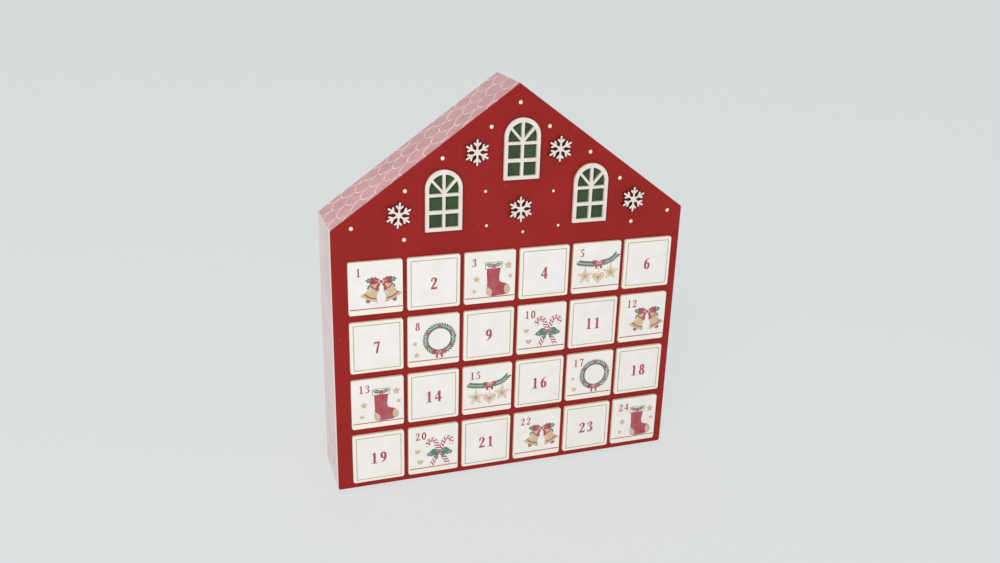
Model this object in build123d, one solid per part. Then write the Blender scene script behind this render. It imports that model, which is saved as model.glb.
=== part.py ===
from build123d import *
from math import atan, cos
import os

# House-shaped wooden advent calendar: a glued board case with a gabled front, filled by a grid of
# small drawers, one for each day. Arched windows and snowflakes are glued to the gable.
# Millimetres. X runs to the right, Y to the back, Z up. The origin is on the ground, under the
# middle of the whole calendar.

# Case boards
CASE_WIDTH = 322.0
CASE_DEPTH = 60.0  # outer face of the front panel to outer face of the back panel
FRONT_PANEL = 3.0
PANEL_CORNER_RADIUS = 2.0  # front panel, at the foot and at the eaves
BACK_PANEL = 3.0
WALL = 8.0
ROOF = 6.0
BASE = 7.0
EAVE_RISE = 20.0  # top shelf to the eaves
GABLE_RISE = 116.0  # eaves to the ridge

# Drawer grid
COLUMNS = 6
ROWS = 4
GRID_SHIFT = 2.4  # the grid lies this far to the right of the case's middle, against the right wall
ROW_PITCH = 54.25  # top of one shelf to the top of the next
SHELF = 3.0
DIVIDER = 3.0
HALVING_GAP = 0.1  # each side of a board in the slot of the board that it crosses

# Drawer openings in the front panel, level with the shelves that the drawers slide on
OPENING_SIDE_INSET = 1.5  # panel that shows beside a divider, seen from inside a bay
OPENING_TOP_INSET = 5.65  # panel that hangs below the shelf above

# Drawer front, which laps over the panel round its opening
FRONT_BOARD = 3.0
FRONT_LAP = 1.0
FRONT_SEAT_GAP = 0.2  # paint and air between a closed front and the panel
FRONT_CORNER_RADIUS = 2.0
FRONT_EDGE_RADIUS = 0.6

# Drawer tray, which slides through the opening
TRAY_BOARD = 2.5
TRAY_SIDE_GAP = 0.4
TRAY_TOP_GAP = 0.4
TRAY_RUN_GAP = 0.2  # under the tray, above the shelf that it slides on
TRAY_END_GAP = 2.0  # behind a closed tray

# Arched window: a cut-out frame over a green card
WINDOW_WIDTH = 32.0
WINDOW_HEIGHT = 52.8
WINDOW_FRAME = 3.0
WINDOW_JAMB = 3.1
WINDOW_CROWN = 3.9  # thickness of the frame at the top of the arch
WINDOW_RAIL = 3.1
WINDOW_BAR = 2.4
WINDOW_LOWER_BAR = 3.0
WINDOW_SPOKE = 2.1
WINDOW_SPOKE_ANGLE = 42.0  # from upright
WINDOW_LIGHT_HEIGHT = 12.0  # clear height of one square light
WINDOW_CARD = 0.8
WINDOW_CARD_INSET = 0.6  # edge of the frame to edge of the card

# Snowflake: a six-armed cut-out
FLAKE_RADIUS = 11.25
FLAKE_BOARD = 3.0
FLAKE_ARM = 1.65
FLAKE_BRANCH = 1.7
FLAKE_BRANCH_LENGTH = 3.5
FLAKE_BRANCH_ROOT = 5.3  # centre of the flake to where the branches leave an arm
FLAKE_BRANCH_ANGLE = 45.0
FLAKE_HUB_RADIUS = 2.6
FLAKE_ARMS = 6

# Places on the gable, as shares of its half width and of its height above the top shelf. They are glued
# on by hand, so left and right differ a little.
WINDOW_SILL_SHARES = [(-0.4065, 0.104), (0.0174, 0.404), (0.4225, 0.093)]
FLAKE_SHARES = [(-0.646, 0.2235), (-0.2295, 0.5885), (0.021, 0.2085), (0.2335, 0.5855), (0.686, 0.223)]
FLAKE_LEAN_ANGLES = [-6.0, 0.0, 2.0, -2.0, -2.0]

# Worked out from the sizes above
half_width = CASE_WIDTH / 2
inner_half_width = half_width - WALL
column_pitch = (2 * (inner_half_width - GRID_SHIFT) + DIVIDER) / COLUMNS
attic_height = BASE + ROWS * ROW_PITCH
eave_height = attic_height + EAVE_RISE
ridge_height = eave_height + GABLE_RISE
roof_slope = GABLE_RISE / half_width
roof_plumb = ROOF / cos(atan(roof_slope))  # thickness of a roof board measured straight down

opening_width = column_pitch - DIVIDER - 2 * OPENING_SIDE_INSET
opening_height = ROW_PITCH - SHELF - OPENING_TOP_INSET
front_width = opening_width + 2 * FRONT_LAP
front_height = opening_height + 2 * FRONT_LAP
tray_width = opening_width - 2 * TRAY_SIDE_GAP
tray_height = opening_height - TRAY_TOP_GAP - TRAY_RUN_GAP

proud = max(FRONT_SEAT_GAP + FRONT_BOARD, WINDOW_CARD + WINDOW_FRAME, FLAKE_BOARD)
face_y = (proud - CASE_DEPTH) / 2  # outer face of the front panel
inner_front_y = face_y + FRONT_PANEL
inner_back_y = face_y + CASE_DEPTH - BACK_PANEL
inner_depth = inner_back_y - inner_front_y
tray_front_y = face_y - FRONT_SEAT_GAP
tray_end_y = inner_back_y - TRAY_END_GAP


def board(x, y, z):
    """A square-edged board between the given (low, high) limits on each axis."""
    size = [high - low for low, high in (x, y, z)]
    middle = [(high + low) / 2 for low, high in (x, y, z)]
    return Pos(*middle) * Box(*size)


def upright(sketch, front, thickness):
    """Raises a sketch drawn in X and Z into a board whose front face lies at Y = front."""
    back_face = Plane(origin=(0, front + thickness, 0), x_dir=(1, 0, 0), z_dir=(0, -1, 0))
    return extrude(back_face * sketch, amount=thickness, dir=(0, -1, 0))


def column_centre(column):
    return GRID_SHIFT + (column - (COLUMNS - 1) / 2) * column_pitch


def row_floor(row):
    """Top of the shelf that carries a row. Row 0 is the lowest."""
    return BASE + row * ROW_PITCH


def on_gable(shares):
    """X and Z of a place on the gable."""
    across, up = shares
    return across * half_width, attic_height + up * (ridge_height - attic_height)


def house_outline():
    return Polygon(
        (-half_width, 0),
        (half_width, 0),
        (half_width, eave_height),
        (0, ridge_height),
        (-half_width, eave_height),
        align=None,
    )


def front_panel():
    """The red face: one board with rounded corners below the ridge and an opening for every drawer."""
    outline = house_outline()
    lower_corners = outline.vertices().sort_by(Axis.Y)[:-1]
    face = fillet(lower_corners, PANEL_CORNER_RADIUS)
    for column in range(COLUMNS):
        for row in range(ROWS):
            middle = Pos(column_centre(column), row_floor(row) + opening_height / 2)
            face -= middle * Rectangle(opening_width, opening_height)
    return upright(face, face_y, FRONT_PANEL)


def back_panel():
    return upright(house_outline(), inner_back_y, BACK_PANEL)


def side_wall(side):
    """A wall whose top is bevelled to lie under the roof board. Side is -1 on the left, 1 on the right."""
    outer_top = eave_height - roof_plumb
    inner_top = outer_top + WALL * roof_slope
    outline = Polygon(
        (side * half_width, 0),
        (side * inner_half_width, 0),
        (side * inner_half_width, inner_top),
        (side * half_width, outer_top),
        align=None,
    )
    return upright(outline, inner_front_y, inner_depth)


def roof_board(side):
    """A sloping board from the wall's outer face to the plumb cut under the ridge."""
    outline = Polygon(
        (side * half_width, eave_height),
        (0, ridge_height),
        (0, ridge_height - roof_plumb),
        (side * half_width, eave_height - roof_plumb),
        align=None,
    )
    return upright(outline, inner_front_y, inner_depth)


def base_board():
    across = (-inner_half_width, inner_half_width)
    return board(across, (inner_front_y, inner_back_y), (0, BASE))


def divider_centres():
    return [column_centre(column) + column_pitch / 2 for column in range(COLUMNS - 1)]


def halving_slot(thickness):
    return thickness + 2 * HALVING_GAP


def shelves():
    """Shelves slotted from the front to half their depth, with a plain one on top that floors the attic."""
    middle_y = (inner_front_y + inner_back_y) / 2
    across = (-inner_half_width, inner_half_width)
    made = []
    for row in range(1, ROWS + 1):
        height = (row_floor(row) - SHELF, row_floor(row))
        shelf = board(across, (inner_front_y, inner_back_y), height)
        if row < ROWS:
            for centre in divider_centres():
                half_slot = halving_slot(DIVIDER) / 2
                shelf -= board((centre - half_slot, centre + half_slot), (inner_front_y, middle_y), height)
        made.append(shelf)
    return made


def dividers():
    """Uprights slotted from the back to half their depth, which drop over the slots of the shelves."""
    middle_y = (inner_front_y + inner_back_y) / 2
    made = []
    for centre in divider_centres():
        across = (centre - DIVIDER / 2, centre + DIVIDER / 2)
        upright_board = board(across, (inner_front_y, inner_back_y), (BASE, attic_height - SHELF))
        for row in range(1, ROWS):
            slot_middle = row_floor(row) - SHELF / 2
            half_slot = halving_slot(SHELF) / 2
            height = (slot_middle - half_slot, slot_middle + half_slot)
            upright_board -= board(across, (middle_y, inner_back_y), height)
        made.append(upright_board)
    return made


def arch(width, height):
    """An arched outline that stands on the middle of its sill."""
    spring = height - width / 2
    return Pos(0, spring / 2) * Rectangle(width, spring) + Pos(0, spring) * Circle(width / 2)


def window_lights():
    """The openings of a window: a fan of four lights over two pairs of square ones."""
    inner_height = WINDOW_HEIGHT - WINDOW_RAIL - WINDOW_CROWN
    lights = Pos(0, WINDOW_RAIL) * arch(WINDOW_WIDTH - 2 * WINDOW_JAMB, inner_height)
    lights -= Pos(0, WINDOW_HEIGHT / 2) * Rectangle(WINDOW_BAR, WINDOW_HEIGHT)
    lower_bar = WINDOW_RAIL + WINDOW_LIGHT_HEIGHT
    upper_bar = lower_bar + WINDOW_LOWER_BAR + WINDOW_LIGHT_HEIGHT
    for bottom, thickness in ((lower_bar, WINDOW_LOWER_BAR), (upper_bar, WINDOW_BAR)):
        lights -= Pos(0, bottom + thickness / 2) * Rectangle(WINDOW_WIDTH, thickness)
    for turn in (-WINDOW_SPOKE_ANGLE, WINDOW_SPOKE_ANGLE):
        foot = Pos(0, upper_bar + WINDOW_BAR) * Rot(0, 0, turn)
        lights -= foot * Pos(0, WINDOW_WIDTH / 2) * Rectangle(WINDOW_SPOKE, WINDOW_WIDTH)
    return lights


def window_frames():
    frame = arch(WINDOW_WIDTH, WINDOW_HEIGHT) - window_lights()
    front = face_y - WINDOW_CARD - WINDOW_FRAME
    return [upright(Pos(*on_gable(shares)) * frame, front, WINDOW_FRAME) for shares in WINDOW_SILL_SHARES]


def window_cards():
    """Green cards glued behind the frames, a little smaller all round."""
    card_height = WINDOW_HEIGHT - 2 * WINDOW_CARD_INSET
    card = Pos(0, WINDOW_CARD_INSET) * arch(WINDOW_WIDTH - 2 * WINDOW_CARD_INSET, card_height)
    front = face_y - WINDOW_CARD
    return [upright(Pos(*on_gable(shares)) * card, front, WINDOW_CARD) for shares in WINDOW_SILL_SHARES]


def flake_bar(start, length, width):
    """A round-ended bar along X, whose end centres lie at start and at length from there."""
    return Pos(start + length / 2, 0) * SlotCenterToCenter(length, width)


def flake_outline():
    arm = flake_bar(0, FLAKE_RADIUS - FLAKE_ARM / 2, FLAKE_ARM)
    for turn in (-FLAKE_BRANCH_ANGLE, FLAKE_BRANCH_ANGLE):
        arm += Pos(FLAKE_BRANCH_ROOT, 0) * Rot(0, 0, turn) * flake_bar(0, FLAKE_BRANCH_LENGTH, FLAKE_BRANCH)
    outline = Circle(FLAKE_HUB_RADIUS)
    for k in range(FLAKE_ARMS):
        outline += Rot(0, 0, 90 + k * 360 / FLAKE_ARMS) * arm
    return outline


def snowflakes():
    flake = flake_outline()
    front = face_y - FLAKE_BOARD
    made = []
    for shares, lean in zip(FLAKE_SHARES, FLAKE_LEAN_ANGLES):
        placed = Pos(*on_gable(shares)) * Rot(0, 0, lean) * flake
        made.append(upright(placed, front, FLAKE_BOARD))
    return made


def drawer_front(column, row):
    """A board with rounded corners and an eased outer edge, no rounder than the board allows."""
    middle = Pos(column_centre(column), row_floor(row) + opening_height / 2)
    outline = middle * RectangleRounded(front_width, front_height, FRONT_CORNER_RADIUS)
    made = upright(outline, tray_front_y - FRONT_BOARD, FRONT_BOARD)
    outer_edges = made.edges().group_by(Axis.Y)[0]
    return fillet(outer_edges, min(FRONT_EDGE_RADIUS, FRONT_BOARD / 2, FRONT_CORNER_RADIUS / 2))


def drawer_tray(column, row):
    """The open box behind a front: two sides, an end board and a floor, glued edge to face."""
    centre = column_centre(column)
    bottom = row_floor(row) + TRAY_RUN_GAP
    top = bottom + tray_height
    outer = (centre - tray_width / 2, centre + tray_width / 2)
    inner = (outer[0] + TRAY_BOARD, outer[1] - TRAY_BOARD)
    length = (tray_front_y, tray_end_y)
    end_board = (tray_end_y - TRAY_BOARD, tray_end_y)
    left_side = board((outer[0], inner[0]), length, (bottom, top))
    right_side = board((inner[1], outer[1]), length, (bottom, top))
    end = board(inner, end_board, (bottom, top))
    floor = board(inner, (tray_front_y, end_board[0]), (bottom, bottom + TRAY_BOARD))
    return [left_side, right_side, end, floor]


def drawer_number(column, row):
    """Day of a drawer: they count along the rows from the top left."""
    return (ROWS - 1 - row) * COLUMNS + column + 1


def build_parts():
    """Every piece or group of like pieces, by its name."""
    parts = {
        "front_panel": [front_panel()],
        "back_panel": [back_panel()],
        "left_wall": [side_wall(-1)],
        "right_wall": [side_wall(1)],
        "left_roof_board": [roof_board(-1)],
        "right_roof_board": [roof_board(1)],
        "base_board": [base_board()],
        "shelves": shelves(),
        "dividers": dividers(),
        "window_frames": window_frames(),
        "window_cards": window_cards(),
        "snowflakes": snowflakes(),
    }
    for row in range(ROWS):
        for column in range(COLUMNS):
            day = f"drawer_{drawer_number(column, row):02d}"
            parts[f"{day}_front"] = [drawer_front(column, row)]
            parts[f"{day}_tray"] = drawer_tray(column, row)
    return parts


os.makedirs("parts", exist_ok=True)
for name, solids in build_parts().items():
    shape = solids[0] if len(solids) == 1 else Compound(children=solids)
    export_step(shape, os.path.join("parts", f"{name}.step"))
print(f"{CASE_WIDTH:.1f} wide, {CASE_DEPTH + proud:.1f} deep, {ridge_height:.1f} high")
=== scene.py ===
from itertools import accumulate
from math import cos, hypot, pi, radians, sin

import bmesh
import bpy
from mathutils import Matrix, Vector
from mathutils.geometry import delaunay_2d_cdt


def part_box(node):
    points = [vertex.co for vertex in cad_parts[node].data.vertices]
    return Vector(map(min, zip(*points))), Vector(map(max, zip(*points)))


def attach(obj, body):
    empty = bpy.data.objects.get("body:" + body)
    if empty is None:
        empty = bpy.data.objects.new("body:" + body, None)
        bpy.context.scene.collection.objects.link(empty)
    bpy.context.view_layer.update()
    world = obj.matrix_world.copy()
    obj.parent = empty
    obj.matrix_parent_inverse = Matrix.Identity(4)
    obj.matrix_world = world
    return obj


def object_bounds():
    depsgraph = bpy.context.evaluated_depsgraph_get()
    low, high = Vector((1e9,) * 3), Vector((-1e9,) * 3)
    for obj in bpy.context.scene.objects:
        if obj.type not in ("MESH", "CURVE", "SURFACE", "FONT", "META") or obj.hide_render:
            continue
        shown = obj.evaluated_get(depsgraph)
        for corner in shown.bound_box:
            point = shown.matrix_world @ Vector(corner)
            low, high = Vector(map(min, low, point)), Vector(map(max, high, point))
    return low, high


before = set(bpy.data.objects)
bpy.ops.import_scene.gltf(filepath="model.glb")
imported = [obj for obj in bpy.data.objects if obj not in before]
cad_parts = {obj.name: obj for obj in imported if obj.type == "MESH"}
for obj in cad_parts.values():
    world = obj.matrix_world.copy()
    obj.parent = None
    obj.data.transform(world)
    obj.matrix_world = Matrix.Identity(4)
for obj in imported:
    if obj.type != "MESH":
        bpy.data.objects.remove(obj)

cad_low, cad_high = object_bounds()

# Bare boards
# Base, shelves and dividers are raw pressed fibreboard, sawn square and lightly sanded. Shelves and dividers
# are halved into each other like an egg crate and glued between the walls.
MM = 0.001
RAW_PALE = "DAC29C"
RAW_DEEP = "CDB38A"
FIBRE_DARK = "8C6C4A"
FIBRE_SIZE = 0.9 * MM
FIBRE_LIMITS = (0.56, 0.7)  # noise where a dark fibre begins and where it is full
SANDED_EDGE = 0.3 * MM
SANDED_STEPS = 2
SHARP_ANGLE = radians(40)
WELD_REACH = 0.002 * MM


def colour(code):
    """A colour given as it looks on a screen, in the linear numbers that Blender works in."""
    shares = [int(code[i:i + 2], 16) / 255 for i in (0, 2, 4)]
    linear = [s / 12.92 if s <= 0.04045 else ((s + 0.055) / 1.055) ** 2.4 for s in shares]
    return (*linear, 1)


class Value:
    """A socket of a node. Arithmetic on it adds Math nodes to the same tree."""

    def __init__(self, wiring, socket):
        self.wiring = wiring
        self.socket = socket

    def out(self, name):
        """Another output of the same node."""
        return Value(self.wiring, self.socket.node.outputs[name])

    def __add__(self, other):
        return self.wiring.maths("ADD", self, other)

    def __radd__(self, other):
        return self.wiring.maths("ADD", other, self)

    def __sub__(self, other):
        return self.wiring.maths("SUBTRACT", self, other)

    def __rsub__(self, other):
        return self.wiring.maths("SUBTRACT", other, self)

    def __mul__(self, other):
        return self.wiring.maths("MULTIPLY", self, other)

    def __rmul__(self, other):
        return self.wiring.maths("MULTIPLY", other, self)

    def __truediv__(self, other):
        return self.wiring.maths("DIVIDE", self, other)

    def __rtruediv__(self, other):
        return self.wiring.maths("DIVIDE", other, self)

    def __abs__(self):
        return self.wiring.maths("ABSOLUTE", self)


class Wiring:
    """A node tree. node() adds any node to it and gives the node's first output."""

    def __init__(self, tree):
        self.tree = tree

    def node(self, kind, settings=None, sockets=None):
        made = self.tree.nodes.new(kind)
        for name, value in (settings or {}).items():
            setattr(made, name, value)
        for name, value in (sockets or {}).items():
            self.feed(made, name, value)
        in_use = [socket for socket in made.outputs if socket.enabled]
        return Value(self, in_use[0]) if in_use else made

    def feed(self, made, name, value):
        """Links a socket of a node, or sets its number, found by its name or its place in the row."""
        in_use = [socket for socket in made.inputs if socket.enabled and socket.name == name]
        socket = in_use[0] if in_use else made.inputs[name]
        if isinstance(value, Value):
            self.tree.links.new(value.socket, socket)
        else:
            socket.default_value = value

    def maths(self, operation, *terms):
        return self.node("ShaderNodeMath", {"operation": operation}, dict(enumerate(terms)))


class Finish(Wiring):
    """One material, with the patterns that every finish here is mixed from."""

    def __init__(self, name):
        self.material = bpy.data.materials.new(name)
        self.material.use_nodes = True
        super().__init__(self.material.node_tree)
        self.shader = self.tree.nodes["Principled BSDF"]
        self.place = self.node("ShaderNodeTexCoord").out("Object")
        split = self.node("ShaderNodeSeparateXYZ", {}, {"Vector": self.place})
        self.x, self.y, self.z = split.out("X"), split.out("Y"), split.out("Z")

    def mottle(self, size, stretch=(1, 1, 1), detail=2):
        """Soft noise from 0 to 1 in blotches of about that size, drawn out along the axes by stretch."""
        scale = [1 / (size * share) for share in stretch]
        fitted = self.node("ShaderNodeMapping", {}, {"Vector": self.place, "Scale": scale})
        return self.node("ShaderNodeTexNoise", {}, {"Vector": fitted, "Scale": 1, "Detail": detail})

    def rise(self, value, low, high):
        """0 below low, 1 above high, and a smooth step between them."""
        limits = {"Value": value, "From Min": low, "From Max": high}
        return self.node("ShaderNodeMapRange", {"interpolation_type": "SMOOTHSTEP"}, limits)

    def past(self, value, edge, blur):
        """0 before an edge and 1 past it, with a step that is blurred so far to both sides."""
        return self.rise(value, edge - blur, edge + blur)

    def cloud(self, size, detail):
        """Noise that is clearer than a mottle, with more of it near 0 and 1."""
        return self.rise(self.mottle(size, detail=detail), 0.3, 0.7)

    def mix(self, share, first, second):
        """One colour, with a share of another laid over it."""
        colours = {"Factor": share, "A": first, "B": second}
        return self.node("ShaderNodeMix", {"data_type": "RGBA"}, colours)

    def over(self, mask, lower, upper):
        """Colour, roughness and height of one coat, with another over it where the mask is 1."""
        hue = self.mix(mask, lower[0], upper[0])
        rough, height = [low + (high - low) * mask for low, high in zip(lower[1:], upper[1:])]
        return hue, rough, height

    def surface(self, coat, depth, shine):
        """Feeds a coat to the shader. Depth is how deep its height of 0 to 1 really is."""
        hue, rough, height = coat
        relief = self.node("ShaderNodeBump", {}, {"Height": height, "Distance": depth})
        self.feed(self.shader, "Base Color", hue)
        self.feed(self.shader, "Roughness", rough)
        self.feed(self.shader, "Normal", relief)
        self.feed(self.shader, "Specular IOR Level", shine)
        return self.material


def raw_board(finish):
    """Pressed fibres in two near tones of tan, with a few dark ones lying every way."""
    tone = finish.mottle(30 * MM, detail=5)
    fibre = finish.mottle(FIBRE_SIZE, stretch=(2.4, 1, 0.7), detail=4)
    cross_fibre = finish.mottle(FIBRE_SIZE, stretch=(0.7, 1, 2.4), detail=4)
    dark_fibres = [finish.rise(lying, *FIBRE_LIMITS) for lying in (fibre, cross_fibre)]
    dark = finish.maths("MAXIMUM", *dark_fibres)
    tan = finish.mix(tone, colour(RAW_DEEP), colour(RAW_PALE))
    return finish.mix(dark * 0.4, tan, colour(FIBRE_DARK)), 0.72 + 0.2 * dark, fibre


def paint_node(name, material, edge=SANDED_EDGE):
    """Gives a board its finish and takes the sharpness off its edges."""
    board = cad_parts[name]
    board.material_slots[0].material = material
    if edge:
        weld = board.modifiers.new("welded", "WELD")
        weld.merge_threshold = WELD_REACH
        sanded = board.modifiers.new("sanded", "BEVEL")
        sanded.width = edge
        sanded.segments = SANDED_STEPS
        sanded.limit_method = "ANGLE"
        sanded.angle_limit = SHARP_ANGLE


bare = Finish("bare_board")
bare_board = bare.surface(raw_board(bare), depth=0.06 * MM, shine=0.25)
for name in ("base_board", "shelves", "dividers"):
    paint_node(name, bare_board)

# Side walls
# Thicker boards glued between the front and back panels. Only their outer faces are rolled with off-white,
# with a painted highlight in cream beside the front panel. They are a little dirty along the foot.
WALL_PALE = "EBDAD7"
WALL_DULL = "D6C4C5"
SCUFF_GREY = "8F8985"
DIRT_HEIGHT = 50 * MM
CORNER_HIGHLIGHT_CREAM = "F8EDE0"
CORNER_HIGHLIGHT_STRIP = 6.5 * MM
COATED = 1 * MM  # how far in from the outer face a board has its coat
half_width = cad_high.x
front_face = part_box("front_panel")[0].y


def wall_paint(finish):
    """Rolled paint in two tones of off-white, with scuffs and a cream strip of painted highlight by the
    front panel.
    """
    cloud = finish.cloud(35 * MM, detail=3)
    streak = finish.rise(finish.mottle(9 * MM, stretch=(1, 1, 18), detail=5), 0.32, 0.68)
    peel = finish.mottle(1.1 * MM)
    foot = 1 - finish.rise(finish.z, 2 * MM, DIRT_HEIGHT)
    scuff = finish.rise(finish.mottle(4 * MM, stretch=(1, 1, 2.2), detail=4) + 0.1 * foot, 0.62, 0.84)
    white = finish.mix(cloud * 0.4 + streak * 0.6, colour(WALL_DULL), colour(WALL_PALE))
    white = finish.mix(scuff * 0.6, white, colour(SCUFF_GREY))
    # A cream strip within a few millimetres of the front panel is a painted highlight along the front
    # corner.
    past_highlight_strip = finish.past(finish.y, front_face + CORNER_HIGHLIGHT_STRIP, 1 * MM)
    white = finish.mix(0.6 - 0.6 * past_highlight_strip, white, colour(CORNER_HIGHLIGHT_CREAM))
    return white, 0.4 + 0.12 * streak + 0.2 * scuff, peel * 0.6 + streak * 0.4


wall = Finish("side_paint")
outside = wall.past(abs(wall.x), half_width - COATED, 0.2 * MM)
wall_coat = wall.over(outside, raw_board(wall), wall_paint(wall))
side_paint = wall.surface(wall_coat, depth=0.03 * MM, shine=0.4)
for name in ("left_wall", "right_wall"):
    paint_node(name, side_paint)

# Roof boards
# Two sloping boards, mitred at the ridge, covered with a printed paper of pale fish scales on dusty pink
# that is folded down to the edges of the panels. The round ends of the scales point to the eaves.
GABLE_RISE = 116 * MM
SCALE_WIDTH = 22.6 * MM
SCALE_ROW = 12.5 * MM
SCALE_LINE = 0.62 * MM
ROOF_PINK = "D3A3A4"
ROOF_DUSK = "C69693"
SCALE_PALE = "FBDEDD"
ridge = cad_high.z
roof_slope = GABLE_RISE / half_width


def under_roof(finish):
    """How far a point is below the roof's upper face."""
    return ridge - abs(finish.x) * roof_slope - finish.z


def scale_lines(finish):
    """1 on the lines of the scales: half rounds in rows, every other row moved on by half a scale."""
    row_place = abs(finish.x) * hypot(1, roof_slope) / SCALE_ROW
    row = finish.maths("FLOOR", row_place)
    across = finish.y / SCALE_WIDTH + row * 0.5
    aside = 2 * abs(finish.maths("FRACT", across) - 0.5)
    down = row_place - row
    reach = finish.maths("SQRT", aside * aside + down * down)
    mean_radius = (SCALE_WIDTH / 2 + SCALE_ROW) / 2
    off_line = abs(reach - 1) * mean_radius
    return 1 - finish.rise(off_line, SCALE_LINE * 0.55, SCALE_LINE * 1.25)


def roof_paper(finish):
    """Pink paper with a printed pattern of scales that is worn thin in places."""
    cloud = finish.cloud(26 * MM, detail=4)
    grain = finish.mottle(0.7 * MM, stretch=(1, 2, 1), detail=3)
    worn = finish.rise(finish.mottle(6 * MM, detail=5), 0.38, 0.58)
    lines = scale_lines(finish) * (0.3 + 0.7 * worn)
    pink = finish.mix(cloud * 0.7 + grain * 0.3, colour(ROOF_DUSK), colour(ROOF_PINK))
    return finish.mix(lines, pink, colour(SCALE_PALE)), 0.4 + 0.15 * grain, grain


roof = Finish("roof_print")
papered = 1 - roof.past(under_roof(roof), COATED, 0.2 * MM)
eave_end = roof.past(abs(roof.x), half_width - 0.35 * MM, 0.15 * MM)
roof_coat = roof.over(papered, raw_board(roof), roof_paper(roof))
roof_coat = roof.over(eave_end, roof_coat, wall_paint(roof))
roof_print = roof.surface(roof_coat, depth=0.02 * MM, shine=0.4)
for name in ("left_roof_board", "right_roof_board"):
    paint_node(name, roof_print)

# Front and back panels
# Thin boards glued over the front and back edges of the case. The front is painted satin red and sawn out
# for the drawers, and the back is raw. The roof paper and the wall paint are carried over their outer edges.
RED = "9C170F"
RED_DEEP = "91110B"
RED_RUBBED = "BC6054"


def red_paint(finish):
    """Satin red, brushed upright, a little rubbed."""
    cloud = finish.cloud(45 * MM, detail=4)
    peel = finish.mottle(1.4 * MM)
    drag = finish.mottle(1.8 * MM, stretch=(1, 1, 25), detail=3)
    rubbed = finish.rise(finish.mottle(5 * MM, detail=6), 0.64, 0.78)
    red = finish.mix(cloud * 0.6 + drag * 0.4, colour(RED_DEEP), colour(RED))
    red = finish.mix(rubbed * 0.2, red, colour(RED_RUBBED))
    return red, 0.28 + 0.1 * peel + 0.14 * drag + 0.2 * rubbed, peel * 0.6 + drag * 0.4


def on_upright_edge(finish):
    return finish.past(abs(finish.x), half_width - 0.4 * MM, 0.1 * MM)


def panel_edges(finish):
    """Raw board inside, wall paint on the upright edges and roof paper on the sloping ones."""
    on_slope = 1 - finish.past(under_roof(finish), 0.6 * MM, 0.1 * MM)
    edges = finish.over(on_upright_edge(finish), raw_board(finish), wall_paint(finish))
    return finish.over(on_slope, edges, roof_paper(finish))


front = Finish("red_paint")
edge_hue, edge_rough, edge_height = panel_edges(front)
# The upright edges of the front panel are painted cream as a highlight along the front corner.
edge_hue = front.mix(on_upright_edge(front) * 0.9, edge_hue, colour(CORNER_HIGHLIGHT_CREAM))
behind_face = front.past(front.y, front_face + 0.45 * MM, 0.1 * MM)
front_coat = front.over(behind_face, red_paint(front), (edge_hue, edge_rough, edge_height))
paint_node("front_panel", front.surface(front_coat, depth=0.02 * MM, shine=0.3))

back = Finish("back_board")
paint_node("back_panel", back.surface(panel_edges(back), depth=0.04 * MM, shine=0.25))

# Painted dots
# Snow dabbed on the red gable with the end of a round stick. It is thick warm white paint, so that each dot
# dries as a low dome.
DOTS = [  # millimetres across and up from the middle of the foot
    (1, 344), (-24, 324.5), (28, 323), (-66, 300), (67, 299), (-98, 274), (97, 274), (-143.5, 245),
    (147, 241), (-99, 232), (111, 233),
]
SMALL_DOTS = [(-28, 269.5), (34, 266), (-26.5, 239), (40, 234.5), (7, 231)]
DOT_RADIUS = 1.7 * MM
SMALL_DOT_RADIUS = 1.25 * MM
DOT_THICKNESS = 0.35 * MM
DOT_SEGMENTS = 20
DOT_RINGS = 10
DOT_WHITE = "FDF3E4"
DOT_SHADE = "EFDCC8"


def put_in_scene(name, data):
    """A new object at the origin."""
    made = bpy.data.objects.new(name, data)
    bpy.context.scene.collection.objects.link(made)
    return made


def settle(piece, tree, choices):
    """Runs a node tree on a piece with these values of its named inputs, and leaves a plain mesh."""
    grown = piece.modifiers.new("grown", "NODES")
    grown.node_group = tree
    for item in tree.interface.items_tree:
        if item.in_out == "INPUT" and item.name in choices:
            grown[item.identifier] = choices[item.name]
    graph = bpy.context.evaluated_depsgraph_get()
    mesh = bpy.data.meshes.new_from_object(piece.evaluated_get(graph))
    piece.modifiers.clear()
    piece.data = mesh
    return piece


def geometry_tree(name, inputs):
    """An empty geometry tree with one geometry in and out, and the named inputs given with their kinds."""
    tree = bpy.data.node_groups.new(name, "GeometryNodeTree")
    tree.interface.new_socket("Geometry", in_out="INPUT", socket_type="NodeSocketGeometry")
    tree.interface.new_socket("Geometry", in_out="OUTPUT", socket_type="NodeSocketGeometry")
    for label, kind in inputs.items():
        tree.interface.new_socket(label, in_out="INPUT", socket_type="NodeSocket" + kind)
    wiring = Wiring(tree)
    return wiring, wiring.node("NodeGroupInput")


def end_tree(wiring, instances, given):
    """Makes the copies real, rounds their shading and gives them their paint."""
    real = wiring.node("GeometryNodeRealizeInstances", {}, {"Geometry": instances})
    rounded = wiring.node("GeometryNodeSetShadeSmooth", {}, {0: real})
    paint = {"Geometry": rounded, "Material": given.out("Material")}
    painted = wiring.node("GeometryNodeSetMaterial", {}, paint)
    wiring.node("NodeGroupOutput", {}, {"Geometry": painted})
    return wiring.tree


def dab_tree():
    """A low dome on every point, as wide as the point's own radius says."""
    wiring, given = geometry_tree("dabs", {"Thickness": "Float", "Material": "Material"})
    ball = wiring.node("GeometryNodeMeshUVSphere", {}, {
        "Segments": DOT_SEGMENTS, "Rings": DOT_RINGS, "Radius": 1,
    })
    radius = wiring.node("GeometryNodeInputNamedAttribute", {"data_type": "FLOAT"}, {"Name": "radius"})
    size = wiring.node("ShaderNodeCombineXYZ", {}, {"X": radius, "Y": given.out("Thickness"), "Z": radius})
    dabs = wiring.node("GeometryNodeInstanceOnPoints", {}, {
        "Points": given.out("Geometry"), "Instance": ball, "Scale": size,
    })
    return end_tree(wiring, dabs, given)


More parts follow.
